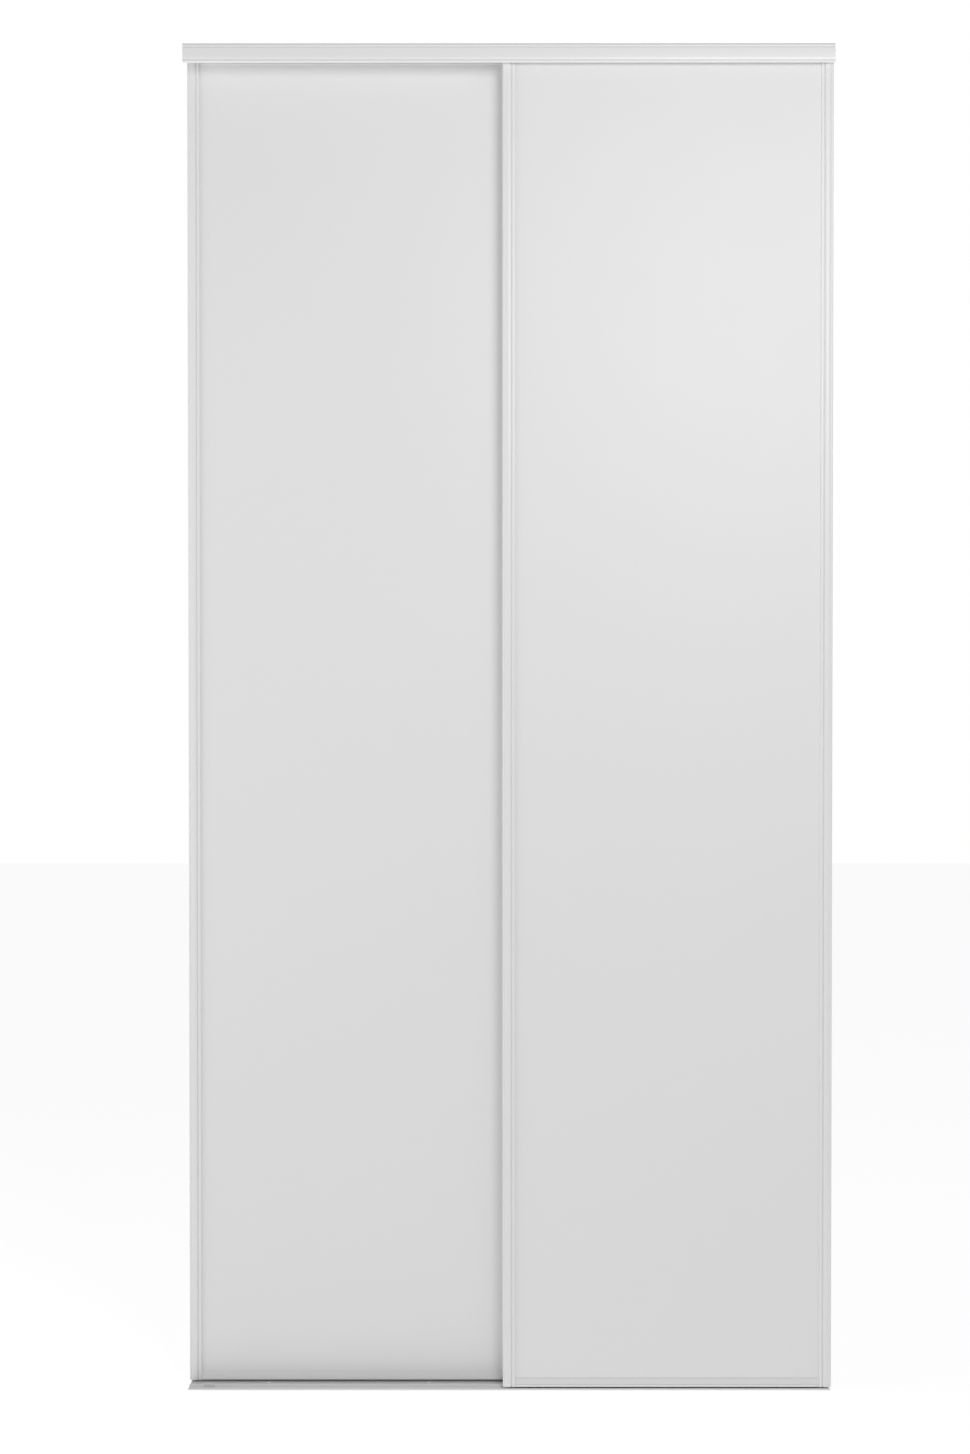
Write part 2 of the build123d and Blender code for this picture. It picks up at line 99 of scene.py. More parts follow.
# %% [markdown]
# White things on white need light that is soft but not even, or their edges vanish. One large
# key lamp stands to the right, a little above the top track, so that it rakes the folds of the
# stiles and lets the front door throw a narrow shadow on the rear one. A wider, weaker lamp
# stands far to the left and close to the plane of the doors. It only grazes their faces, and
# keeps the edges that face it bright. The world is white for the eye, and gives the object a
# dimmer, even light of its own.

# %% Lamps and world
def lamp(name, place, aim, size, power):
    """A square area lamp at a place, turned to face a point."""
    data = bpy.data.lights.new(name, "AREA")
    data.shape = "SQUARE"
    data.size = size
    data.energy = power
    made = bpy.data.objects.new(name, data)
    made.location = place
    made.rotation_euler = (Vector(aim) - Vector(place)).to_track_quat("-Z", "Y").to_euler()
    bpy.context.scene.collection.objects.link(made)
    return made


lamp("key", (0.85, -2.6, 2.5), (0.15, 0.0, 1.9), 1.0, 22.8)
lamp("fill", (-2.6, -0.9, 1.6), (0.0, 0.0, 1.5), 1.4, 16.4)

AMBIENT = 0.3
world = bpy.data.worlds.new("studio")
world.use_nodes = True
bpy.context.scene.world = world
sky = world.node_tree
sky.nodes.clear()
lit = sky.nodes.new("ShaderNodeBackground")
lit.inputs["Strength"].default_value = AMBIENT
seen = sky.nodes.new("ShaderNodeBackground")
for background in (lit, seen):
    background.inputs["Color"].default_value = (1.0, 1.0, 1.0, 1.0)
rays = sky.nodes.new("ShaderNodeLightPath")
either = sky.nodes.new("ShaderNodeMixShader")
sky.links.new(rays.outputs["Is Camera Ray"], either.inputs[0])
sky.links.new(lit.outputs[0], either.inputs[1])
sky.links.new(seen.outputs[0], either.inputs[2])
sky.links.new(either.outputs[0], sky.nodes.new("ShaderNodeOutputWorld").inputs[0])
bpy.context.scene.view_settings.view_transform = "Standard"

# %% [markdown]
# A finish is a small sum: a little noise, times an amount, plus a base value. Writing such sums
# as nodes by hand hides them, so one small class wraps a socket. Its operators add the Math
# nodes, and its one method adds any other node, with settings first and then values or links.

# %% Sums on sockets
class Flow:
    """One output of a node, in a shader tree or a geometry tree."""

    def __init__(self, tree, socket=None):
        self.tree = tree
        self.socket = socket

    def node(self, kind, inputs=(), output=0, **settings):
        """Add a node. Settings are its properties, and inputs are values or other flows."""
        made = self.tree.nodes.new(kind)
        for name, value in settings.items():
            setattr(made, name, value)
        for key, value in dict(inputs).items():
            if isinstance(value, Flow):
                self.tree.links.new(value.socket, made.inputs[key])
            else:
                made.inputs[key].default_value = value
        return Flow(self.tree, made.outputs[output])

    def other(self, output):
        """Another output of the same node."""
        return Flow(self.tree, self.socket.node.outputs[output])

    def maths(self, operation, first, second):
        return self.node("ShaderNodeMath", {0: first, 1: second}, operation=operation)

    def __add__(self, value):
        return self.maths("ADD", self, value)

    def __mul__(self, value):
        return self.maths("MULTIPLY", self, value)

    __radd__ = __add__
    __rmul__ = __mul__


# %% [markdown]
# Every finish starts from the same few lines: a Principled shader, the piece's own coordinates
# in metres, and a noise with a given number of waves to the metre. Object coordinates do not
# slide when a door moves, because a piece's place is in its mesh.

# %% Blank finish
class Finish:
    """A node material with a Principled shader, ready for a pattern."""

    def __init__(self, name, colour, roughness, metallic=0.0, coat=0.0):
        self.material = bpy.data.materials.new(name)
        self.material.use_nodes = True
        tree = self.material.node_tree
        self.shader = next(n for n in tree.nodes if n.type == "BSDF_PRINCIPLED")
        self.start = Flow(tree)
        self.place = self.start.node("ShaderNodeTexCoord").other("Object")
        self.material.diffuse_color = (*colour, 1.0)
        self.shader.inputs["Base Color"].default_value = (*colour, 1.0)
        self.shader.inputs["Roughness"].default_value = roughness
        self.shader.inputs["Metallic"].default_value = metallic
        self.shader.inputs["Coat Weight"].default_value = coat

    def noise(self, waves, detail=2.0, stretch=(1.0, 1.0, 1.0)):
        """Noise from 0 to 1 with so many waves to the metre, drawn out along an axis if asked."""
        spread = self.start.node("ShaderNodeMapping", {"Vector": self.place, "Scale": stretch})
        return self.start.node(
            "ShaderNodeTexNoise", {"Vector": spread, "Scale": waves, "Detail": detail}
        )

    def blend(self, factor, first, second):
        """The base colour runs from the first colour to the second with the factor."""
        mixed = self.start.node(
            "ShaderNodeMix",
            {"Factor": factor, 6: (*first, 1.0), 7: (*second, 1.0)},
            output=2,
            data_type="RGBA",
        )
        self.feed("Base Color", mixed)

    def bump(self, height, depth):
        """Raise the surface by the height, up to a depth in metres."""
        raised = self.start.node(
            "ShaderNodeBump", {"Height": height, "Distance": depth, "Strength": 1.0}
        )
        self.feed("Normal", raised)

    def feed(self, socket, flow):
        self.start.tree.links.new(flow.socket, self.shader.inputs[socket])


def tone(value, step):
    """A neutral grey a step away from another."""
    return (value + step,) * 3


# %% [markdown]
# The tracks, stiles and rails are rolled from steel that is stove lacquered white. Sprayed
# lacquer dries with a faint orange peel, a few millimetres from crest to crest, and its gloss
# drifts a little along the coil. Both are far below what shows as colour, so the colour only
# drifts by a hair and the peel is left to the bump.

# %% Lacquer
def lacquer(name, white, roughness):
    made = Finish(name, tone(white, 0.0), roughness, coat=0.12)
    made.shader.inputs["Coat Roughness"].default_value = 0.18
    drift = made.noise(3.0, detail=3.0)
    made.blend(drift, tone(white, -0.008), tone(white, 0.008))
    gloss = made.noise(24.0, detail=3.0)
    made.feed("Roughness", gloss * 0.08 + (roughness - 0.04))
    peel = made.noise(420.0, detail=1.0)
    grain = made.noise(2400.0, detail=0.0)
    made.bump(peel * 0.8 + grain * 0.2, 0.00003)
    return made.material


WHITE = 0.82
LACQUER_ROUGHNESS = 0.36
track_lacquer = lacquer("track_lacquer", WHITE, LACQUER_ROUGHNESS)
frame_lacquer = lacquer("frame_lacquer", WHITE, LACQUER_ROUGHNESS)
print("lacquers:", track_lacquer.name, frame_lacquer.name)

# %% [markdown]
# The boards are faced with melamine that is pressed against a fine pearl plate. It has no grain,
# only a dense pattern of dimples about half a millimetre across, which takes the sharpness out
# of reflections. The facing is a touch less glossy than the lacquer beside it.

# %% Melamine facing
def melamine(name, white, roughness):
    made = Finish(name, tone(white, 0.0), roughness)
    drift = made.noise(1.7, detail=2.0)
    made.blend(drift, tone(white, -0.006), tone(white, 0.006))
    rub = made.noise(9.0, detail=4.0)
    made.feed("Roughness", rub * 0.06 + (roughness - 0.03))
    dimples = made.start.node(
        "ShaderNodeTexVoronoi", {"Vector": made.place, "Scale": 1900.0}, feature="SMOOTH_F1"
    )
    swell = made.noise(700.0, detail=2.0)
    made.bump(dimples * 0.6 + swell * 0.4, 0.00002)
    return made.material


white_facing = melamine("white_facing", WHITE, 0.42)

# %% [markdown]
# Moulded nylon is matt, slightly uneven in tone, and carries the fine spark texture of its mould.

# %% Nylon
def nylon(name, colour, shade):
    made = Finish(name, colour, 0.5)
    cloud = made.noise(60.0, detail=3.0)
    made.blend(cloud, tuple(c * (1.0 - shade) for c in colour), colour)
    spark = made.noise(3200.0, detail=2.0)
    made.feed("Roughness", spark * 0.16 + 0.44)
    made.bump(spark, 0.00002)
    return made.material


nylon_white = nylon("nylon_white", (0.80, 0.80, 0.77), 0.05)
nylon_grey = nylon("nylon_grey", (0.50, 0.51, 0.52), 0.06)
stop_plastic = nylon("stop_plastic", (0.74, 0.74, 0.73), 0.04)

# %% [markdown]
# Plated steel is bright, with a passivated tint that wanders between blue and straw. Wire and
# turned steel keep the fine lines of the die and the lathe, drawn out along one direction.

# %% Steels
def steel(name, cool, warm, roughness, lines, stretch):
    made = Finish(name, cool, roughness, metallic=1.0)
    tint = made.noise(90.0, detail=4.0)
    made.blend(tint, cool, warm)
    drawn = made.noise(lines, detail=2.0, stretch=stretch)
    made.feed("Roughness", drawn * 0.2 + (roughness - 0.1))
    made.bump(drawn, 0.000012)
    return made.material


zinc_steel = steel("zinc_steel", (0.63, 0.66, 0.70), (0.70, 0.68, 0.62), 0.32, 900.0, (1.0, 1.0, 0.12))
bearing_steel = steel("bearing_steel", (0.58, 0.59, 0.60), (0.62, 0.62, 0.62), 0.24, 2500.0, (1.0, 0.1, 1.0))
spring_steel = steel("spring_steel", (0.42, 0.43, 0.45), (0.48, 0.47, 0.46), 0.30, 1800.0, (1.0, 1.0, 0.2))
print("steels:", zinc_steel.name, bearing_steel.name, spring_steel.name)

# %% [markdown]
# A roll-formed profile is one strip of sheet bent along its length. Its section is the strip's
# middle line with a round bend at each corner. Drawing that line and giving it a gauge keeps
# the wall the same thickness everywhere, which an outline drawn by hand never quite does.

# %% Section of a bent sheet
FACET = math.radians(9.0)


def middle_line(points, radii):
    """Places along a bent sheet's middle line, each with the direction to its left."""
    corners = [Vector(p) for p in points]
    line = []
    runs = [(b - a).normalized() for a, b in zip(corners, corners[1:])]
    line.append((corners[0], runs[0].orthogonal()))
    for corner, before, after, radius in zip(corners[1:], runs, runs[1:], radii):
        turn = before.angle_signed(after) * -1.0
        reach = radius * math.tan(abs(turn) / 2.0)
        start = corner - before * reach
        side = before.orthogonal() * math.copysign(1.0, turn)
        centre = start + side * radius
        steps = max(2, math.ceil(abs(turn) / FACET))
        for step in range(steps + 1):
            spun = Matrix.Rotation(turn * step / steps, 2)
            line.append((centre - (spun @ side) * radius, spun @ before.orthogonal()))
    line.append((corners[-1], runs[-1].orthogonal()))
    return line


def section(name, points, radii, gauge, spot):
    """A flat mesh of the sheet's section. spot turns (across, up) in millimetres to a place."""
    mesh = bmesh.new()
    line = middle_line(points, radii)
    pairs = []
    for place, left in line:
        sides = (place + left * gauge / 2.0, place - left * gauge / 2.0)
        pairs.append([mesh.verts.new(spot(*side)) for side in sides])
    for (a, b), (c, d) in zip(pairs, pairs[1:]):
        mesh.faces.new((a, b, d, c))
    # each edge of the strip is rounded off by half a turn
    for (place, left), (a, b), sense in ((line[0], pairs[0], 1.0), (line[-1], pairs[-1], -1.0)):
        nose = []
        for step in range(1, 6):
            spun = Matrix.Rotation(sense * math.pi * step / 6.0, 2) @ left
            nose.append(mesh.verts.new(spot(*(place + spun * gauge / 2.0))))
        mesh.faces.new([a, *nose, b])
    data = bpy.data.meshes.new(name)
    mesh.to_mesh(data)
    mesh.free()
    made = bpy.data.objects.new(name, data)
    bpy.context.scene.collection.objects.link(made)
    return made


# %% [markdown]
# The rolls push the section along in a straight line, so a length of profile follows a rule:
# extrude the section, close the end that is left open, and merge the two. Geometry Nodes do it,
# with the run as an input, and the same tree makes tracks, rails and stiles.

# %% Geometry tree: a formed length
def geometry_tree(name, sockets):
    """An empty geometry tree with named inputs. Gives the tree, its input flow and its sockets."""
    tree = bpy.data.node_groups.new(name, "GeometryNodeTree")
    tree.interface.new_socket("Geometry", in_out="OUTPUT", socket_type="NodeSocketGeometry")
    tree.interface.new_socket("Geometry", in_out="INPUT", socket_type="NodeSocketGeometry")
    keys = {}
    for label, kind in sockets.items():
        made = tree.interface.new_socket(label, in_out="INPUT", socket_type="NodeSocket" + kind)
        keys[label] = made.identifier
    entry = Flow(tree).node("NodeGroupInput")
    return tree, entry, keys


def end_tree(geometry, material):
    """Realize the instances, give them their finish and send them out."""
    real = geometry.node("GeometryNodeRealizeInstances", {0: geometry})
    dressed = real.node("GeometryNodeSetMaterial", {0: real, "Material": material})
    dressed.node_out = dressed.tree.nodes.new("NodeGroupOutput")
    dressed.tree.links.new(dressed.socket, dressed.node_out.inputs[0])


formed, entry, formed_keys = geometry_tree("formed_length", {"Run": "Vector", "Finish": "Material"})
pushed = entry.node(
    "GeometryNodeExtrudeMesh",
    {"Mesh": entry, "Offset": entry.other("Run"), "Offset Scale": 1.0, "Individual": False},
    mode="FACES",
)
joined = entry.node("GeometryNodeJoinGeometry")
turned_back = entry.node("GeometryNodeFlipFaces", {"Mesh": entry})
entry.tree.links.new(pushed.socket, joined.socket.node.inputs[0])
entry.tree.links.new(turned_back.socket, joined.socket.node.inputs[0])
closed = entry.node("GeometryNodeMergeByDistance", {0: joined, "Distance": 0.000002})
end_tree(closed, entry.other("Finish"))
print("formed_length inputs:", list(formed_keys))

# %% [markdown]
# Holes are punched in rows. A row is a first place, a step and a count, so a line of points
# carries the punches and one Boolean takes them out of the sheet.

# %% Geometry tree: a row of punched holes
punched, entry, punched_keys = geometry_tree(
    "punched_row",
    {
        "Count": "Int",
        "First": "Vector",
        "Step": "Vector",
        "Radius": "Float",
        "Depth": "Float",
        "Turn": "Rotation",
        "Finish": "Material",
    },
)
row = entry.node(
    "GeometryNodeMeshLine",
    {"Count": entry.other("Count"), "Start Location": entry.other("First"), "Offset": entry.other("Step")},
    mode="OFFSET",
)
punch = entry.node(
    "GeometryNodeMeshCylinder",
    {"Vertices": 32, "Radius": entry.other("Radius"), "Depth": entry.other("Depth")},
)
punches = entry.node(
    "GeometryNodeInstanceOnPoints", {"Points": row, "Instance": punch, "Rotation": entry.other("Turn")}
)
solid_punches = entry.node("GeometryNodeRealizeInstances", {0: punches})
left_over = entry.node(
    "GeometryNodeMeshBoolean", {0: entry, 1: solid_punches}, operation="DIFFERENCE", solver="EXACT"
)
end_tree(left_over, entry.other("Finish"))
print("punched_row inputs:", list(punched_keys))


# %% [markdown]
# A tree only describes the work. The result is taken out as a plain mesh, the modifier is
# removed, and the faces are turned outwards once the shape is closed. Edges sharper than a bend
# stay sharp, and the bends are shaded smooth.

# %% Running a tree
def run_tree(piece, tree, keys, values):
    """Run a geometry tree on a piece and keep its result as the piece's own mesh."""
    modifier = piece.modifiers.new("run", "NODES")
    modifier.node_group = tree
    for label, value in values.items():
        modifier[keys[label]] = value
    shown = bpy.context.evaluated_depsgraph_get()
    result = bpy.data.meshes.new_from_object(piece.evaluated_get(shown), depsgraph=shown)
    piece.modifiers.remove(modifier)
    piece.data = result
    return piece


def face_outwards(piece):
    """Merge doubles and turn faces outwards. Gives the number of open edges that are left."""
    mesh = bmesh.new()
    mesh.from_mesh(piece.data)
    bmesh.ops.remove_doubles(mesh, verts=mesh.verts, dist=0.000001)
    bmesh.ops.recalc_face_normals(mesh, faces=mesh.faces)
    open_edges = sum(not edge.is_manifold for edge in mesh.edges)
    mesh.to_mesh(piece.data)
    mesh.free()
    return open_edges


def tidy_faces(piece, sharp=math.radians(28.0)):
    """Turn faces outwards, and shade bends smooth and corners sharp."""
    open_edges = face_outwards(piece)
    piece.data.shade_smooth()
    piece.data.set_sharp_from_angle(angle=sharp)
    print(piece.name, "faces", len(piece.data.polygons), "open edges", open_edges)
    return piece


def formed_length(name, points, radii, gauge, spot, run, material):
    """A straight length of roll-formed profile."""
    piece = section(name, points, radii, gauge, spot)
    run_tree(piece, formed, formed_keys, {"Run": run, "Finish": material})
    # a mirrored section comes out inside out, and a punch would then leave its hole's wall off
    face_outwards(piece)
    return piece


def punch_row(piece, first, step, count, radius, depth, turn, material):
    """Punch a row of round holes through a piece."""
    values = {"Count": count, "First": first, "Step": step, "Radius": radius}
    values.update({"Depth": depth, "Turn": turn, "Finish": material})
    return run_tree(piece, punched, punched_keys, values)


def stands_for(piece, node):
    """The piece takes a frame node's place and moves with its body."""
    body = frame["nodes"][node]["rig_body"]
    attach(piece, body)
    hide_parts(node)


# %% [markdown]
# The top track is one strip folded into a capital E on its back. From the front it runs: a lip
# that guides the front door, the fascia's rolled foot, a face with a groove near its top, the
# web against the head of the opening, a divider folded double between the doors, and the rear
# wall. The divider is shorter than the fascia. Following the one strip gives the seam along the
# divider for nothing.

# %% Top track
def across_y(x, y_zero, z_zero):
    """Places a section drawn in (Y, Z) millimetres on a plane across X."""
    return lambda a, b: (x, y_zero + a * MM, z_zero + b * MM)


low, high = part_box("top_track")
TOP_GAUGE = 1.2
half = TOP_GAUGE / 2.0
depth = (high.y - low.y) / MM
height = (high.z - low.z) / MM
FASCIA_PROUD = 7.0
CHANNEL = 38.0
lip = FASCIA_PROUD - half
fold_front = FASCIA_PROUD + CHANNEL + half
fold_back = fold_front + TOP_GAUGE
foot = -height + half
RETURN_LIP_TOP = 4.5
DIVIDER_HEIGHT = 20.0
fold_foot = -DIVIDER_HEIGHT + half
track = formed_length(
    "top_track_profile",
    [
        (lip, -RETURN_LIP_TOP),
        (lip, foot),
        (half, foot),
        (half, foot + 2.3),
        (half + 1.0, foot + 3.6),
        (half, -26.5),
        (half, -8.2),
        (half + 1.8, -6.9),
        (half + 0.5, -5.8),
        (half + 0.5, -half),
        (fold_front, -half),
        (fold_front, fold_foot),
        (fold_back, fold_foot),
        (fold_back, -half),
        (depth - half, -half),
        (depth - half, -height + half),
    ],
    [1.0, 1.3, 0.7, 0.7, 4.0, 0.7, 0.65, 0.65, 3.0, 1.0, half, half, 1.0, 1.6],
    TOP_GAUGE - 0.03,
    across_y(low.x, low.y, high.z),
    (high.x - low.x, 0.0, 0.0),
    track_lacquer,
)
TRACK_HOLE = 2.25 * MM
HOLE_STEP = 300.0 * MM
HOLE_FIRST = -450.0 * MM
for channel in (FASCIA_PROUD + CHANNEL / 2.0, depth - TOP_GAUGE - CHANNEL / 2.0):
    first = (HOLE_FIRST, low.y + channel * MM, high.z)
    punch_row(track, first, (HOLE_STEP, 0.0, 0.0), 4, TRACK_HOLE, 0.01, (0.0, 0.0, 0.0), track_lacquer)
tidy_faces(track)
stands_for(track, "top_track")

# %% [markdown]
# The bottom track lies almost flat on the floor. Its long edges are rolled over so that no cut
# edge shows, and a half-round bead under each door carries the hollow treads of the wheels.

# %% Bottom track
low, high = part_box("bottom_track")
BOTTOM_GAUGE = 1.2
half = BOTTOM_GAUGE / 2.0
depth = (high.y - low.y) / MM
LIP_HEIGHT = 4.0
LIP_RETURN = 2.6
LIP_TURN_DOWN = 1.5
lip_top = LIP_HEIGHT - half
lip_end = lip_top - LIP_TURN_DOWN + half
bead = (high.z - low.z) / MM - half
BEAD_HALF = 3.4
bead_places = []
for door in ("front", "rear"):
    wheel_low, wheel_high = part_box(f"{door}_left_roller_wheel")
    bead_places.append(((wheel_low.y + wheel_high.y) / 2.0 - low.y) / MM)
line = [(half + LIP_RETURN, lip_end), (half + LIP_RETURN, lip_top), (half, lip_top), (half, half)]
bends = [1.1, 1.1, 1.1]
for place in bead_places:
    line += [(place - BEAD_HALF, half), (place - BEAD_HALF, bead)]
    line += [(place + BEAD_HALF, bead), (place + BEAD_HALF, half)]
    bends += [0.65, 2.5, 2.5, 0.65]
line += [(depth - half, half), (depth - half, lip_top)]
line += [(depth - half - LIP_RETURN, lip_top), (depth - half - LIP_RETURN, lip_end)]
bends += [1.1, 1.1, 1.1]
track = formed_length(
    "bottom_track_profile",
    line,
    bends,
    BOTTOM_GAUGE,
    across_y(low.x, low.y, low.z),
    (high.x - low.x, 0.0, 0.0),
    track_lacquer,
)
between = low.y + sum(bead_places) / 2.0 * MM
first = (HOLE_FIRST, between, low.z)
punch_row(track, first, (HOLE_STEP, 0.0, 0.0), 4, TRACK_HOLE, 0.01, (0.0, 0.0, 0.0), track_lacquer)
tidy_faces(track)
stands_for(track, "bottom_track")

# %% [markdown]
# A stile is a box-like C whose mouth takes the panel. Its face is ribbed: an outer lip, a hair
# groove, a softly crowned band, a wider groove and an inner lip that returns to the panel. The
# ribs stiffen the strip, and they are what draws the fine upright lines on the doors. The outer
# wall is pressed in, so that the heads of the frame screws sit below the edge.

# %% Stiles
DOOR_GAUGE = 1.0
SCREW_HOLE = 2.1 * MM
SIDE_SCREW_BACK = 20.9 * MM
SIDE_SCREW_IN = 27.0 * MM
PUNCH_REACH = 0.06
STILE_LINE = [
    (22.0, 3.95),
    (22.0, 1.1),
    (17.9, 0.8),
    (16.9, 3.1),
    (15.4, 3.1),
    (14.6, 1.1),
    (9.7, -0.1),
    (4.8, 1.1),
    (4.2, 1.8),
    (3.5, 1.1),
    (0.5, 1.1),
    (0.5, 15.4),
    (3.7, 15.9),
    (3.7, 25.9),
    (0.5, 26.4),
    (0.5, 29.5),
    (22.0, 29.5),
    (22.0, 12.05),
]
STILE_BENDS = [0.8, 0.6, 0.6, 0.6, 0.6, 18.0, 0.6, 0.55, 0.6, 1.5, 1.0, 1.0, 1.0, 1.0, 1.2, 1.5]
SIDES = {"left": 1.0, "right": -1.0}


def across_z(x_zero, sense, y_zero, z):
    """Places a section drawn in (X, Y) millimetres on a level plane, mirrored if asked."""
    return lambda a, b: (x_zero + sense * a * MM, y_zero + b * MM, z)


for door in ("front", "rear"):
    for side, sense in SIDES.items():
        node = f"{door}_{side}_stile"
        low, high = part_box(node)
        outer = low.x if side == "left" else high.x
        stile = formed_length(
            f"{node}_profile",
            STILE_LINE,
            STILE_BENDS,
            DOOR_GAUGE,
            across_z(outer, sense, low.y, low.z),
            (0.0, 0.0, high.z - low.z),
            frame_lacquer,
        )
        level = (0.0, math.pi / 2.0, 0.0)
        first = (outer, low.y + SIDE_SCREW_BACK, low.z + SIDE_SCREW_IN)
        step = (0.0, 0.0, high.z - low.z - 2.0 * SIDE_SCREW_IN)
        punch_row(stile, first, step, 2, SCREW_HOLE, PUNCH_REACH, level, frame_lacquer)
        tidy_faces(stile)
        stands_for(stile, node)

# %% [markdown]
# The rails run between the stiles. In front of the panel the bottom rail shows only a low lip
# that leans back to the board from a rolled bead. Behind the panel the strip rises and turns
# down again, and that pocket hides the rollers. The top rail is the same idea upside down.

# %% Rails
BOTTOM_LINE = [
    (3.45, 15.2),
    (2.1, 5.2),
    (0.5, 4.0),
    (0.5, 0.5),
    (12.5, 0.5),
    (12.5, 49.5),
    (29.3, 49.5),
    (29.3, 0.5),
]
BOTTOM_BENDS = [0.9, 0.9, 1.3, 1.0, 1.5, 1.5]
TOP_LINE = [(3.45, -4.0), (3.45, -0.5), (12.5, -0.5), (12.5, -37.5), (29.3, -37.5), (29.3, -0.5)]
TOP_BENDS = [1.0, 1.0, 1.5, 1.5]
BLOCK_SCREW_IN = 8.5 * MM
BOTTOM_SCREW_UP = 40.0 * MM
TOP_SCREW_DOWN = 12.0 * MM
ADJUSTER_HOLE = 3.3 * MM

for door in ("front", "rear"):
    door_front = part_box(f"{door}_left_stile")[0].y
    for name, line, bends, screw_up in (
        ("bottom_rail", BOTTOM_LINE, BOTTOM_BENDS, BOTTOM_SCREW_UP),
        ("top_rail", TOP_LINE, TOP_BENDS, -TOP_SCREW_DOWN),
    ):
        node = f"{door}_{name}"
        low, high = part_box(node)
        edge = low.z if name == "bottom_rail" else high.z
        rail = formed_length(
            f"{node}_profile",
            line,
            bends,
            DOOR_GAUGE,
            across_y(low.x, door_front, edge),
            (high.x - low.x, 0.0, 0.0),
            frame_lacquer,
        )
        first = (low.x + BLOCK_SCREW_IN, high.y, edge + screw_up)
        step = (high.x - low.x - 2.0 * BLOCK_SCREW_IN, 0.0, 0.0)
        upright = (math.pi / 2.0, 0.0, 0.0)
        punch_row(rail, first, step, 2, SCREW_HOLE, 0.01, upright, frame_lacquer)
        if name == "bottom_rail":
            adjuster_low, adjuster_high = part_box(f"{door}_left_height_adjuster")
            middle = (adjuster_low + adjuster_high) / 2.0
            first = (middle.x, middle.y, high.z)
            step = (low.x + high.x - 2.0 * middle.x, 0.0, 0.0)
            punch_row(rail, first, step, 2, ADJUSTER_HOLE, 0.01, (0.0, 0.0, 0.0), frame_lacquer)
        tidy_faces(rail)
        stands_for(rail, node)

# %% [markdown]
# Eight pan-head screws hold each door's frame: one through each end of each stile, and one
# through the back of each rail into the block behind it. The screw is turned once on a lathe
# and its cross recess is cut. Geometry Nodes then drive a copy into each seat, along the
# direction that is stored with the seat.

# %% One screw
def lathe(name, outline, turns=40):
    """Spin (radius, height) points in metres about Z."""
    mesh = bmesh.new()
    rings = []
    for radius, height in outline:
        count = 1 if radius == 0.0 else turns
        angles = [2.0 * math.pi * k / count for k in range(count)]
        rings.append([mesh.verts.new((radius * math.cos(t), radius * math.sin(t), height)) for t in angles])
    for under, over in zip(rings, rings[1:]):
        for k in range(turns):
            corners = [under[k % len(under)], under[(k + 1) % len(under)]]
            corners += [over[(k + 1) % len(over)], over[k % len(over)]]
            mesh.faces.new(dict.fromkeys(corners))
    data = bpy.data.meshes.new(name)
    mesh.to_mesh(data)
    mesh.free()
    made = bpy.data.objects.new(name, data)
    bpy.context.scene.collection.objects.link(made)
    return made


def cross_cutter(arm, width, top, bottom, taper):
    """A tapered cross that cuts the recess for a driver."""
    mesh = bmesh.new()
    for long, wide in ((arm, width), (width, arm)):
        box = bmesh.ops.create_cube(mesh, size=1.0)["verts"]
        for vert in box:
            shrink = 1.0 if vert.co.z > 0.0 else taper
            vert.co.x *= long * shrink
            vert.co.y *= wide * shrink
            vert.co.z = top if vert.co.z > 0.0 else bottom
    data = bpy.data.meshes.new("recess")
    mesh.to_mesh(data)
    mesh.free()
    made = bpy.data.objects.new("recess", data)
    bpy.context.scene.collection.objects.link(made)
    return made


def pan_screw(name, shank, length, head, rise):
    """A pan-head screw whose seat is at the origin and whose head points up."""
    outline = [(0.0, -length), (shank * 0.55, -length), (shank, -length + shank), (shank, 0.0), (head, 0.0)]
    for step in range(7):
        angle = math.pi / 2.0 * step / 6.0
        shoulder = rise * 0.65
        across = head - shoulder * (1.0 - math.cos(angle))
        outline.append((across, rise - shoulder * (1.0 - math.sin(angle))))
    outline.append((head * 0.4, rise))
    outline.append((0.0, rise))
    made = lathe(name, outline)
    cutter = cross_cutter(head * 1.15, head * 0.26, rise + MM, rise * 0.4, 0.8)
    cut = made.modifiers.new("recess", "BOOLEAN")
    cut.object = cutter
    cut.operation = "DIFFERENCE"
    cut.solver = "EXACT"
    cut.use_self = True
    shown = bpy.context.evaluated_depsgraph_get()
    result = bpy.data.meshes.new_from_object(made.evaluated_get(shown), depsgraph=shown)
    made.modifiers.remove(cut)
    made.data = result
    bpy.data.objects.remove(cutter)
    return made


side_screw = pan_screw("side_screw", 2.0 * MM, 32.0 * MM, 3.5 * MM, 2.0 * MM)
rear_screw = pan_screw("rear_screw", 2.0 * MM, 9.5 * MM, 3.5 * MM, 2.0 * MM)
print("faces of one screw:", len(side_screw.data.polygons))

# %% Geometry tree: driven screws
driven, entry, driven_keys = geometry_tree("driven_screws", {"Screw": "Object", "Finish": "Material"})
pattern = entry.node("GeometryNodeObjectInfo", {"Object": entry.other("Screw")}).other("Geometry")
facing = entry.node("GeometryNodeInputNamedAttribute", {"Name": "facing"}, data_type="FLOAT_VECTOR")
turned = entry.node("FunctionNodeAlignRotationToVector", {"Vector": facing}, axis="Z")
spun = entry.node(
    "FunctionNodeRandomValue", {2: 0.0, 3: math.pi / 2.0, "Seed": 7}, output=1, data_type="FLOAT"
)
axis_turn = entry.node("FunctionNodeAxisAngleToRotation", {"Axis": (0.0, 0.0, 1.0), "Angle": spun})
aimed = entry.node("FunctionNodeRotateRotation", {0: turned, 1: axis_turn}, rotation_space="LOCAL")
screws = entry.node(
    "GeometryNodeInstanceOnPoints", {"Points": entry, "Instance": pattern, "Rotation": aimed}
)
end_tree(screws, entry.other("Finish"))


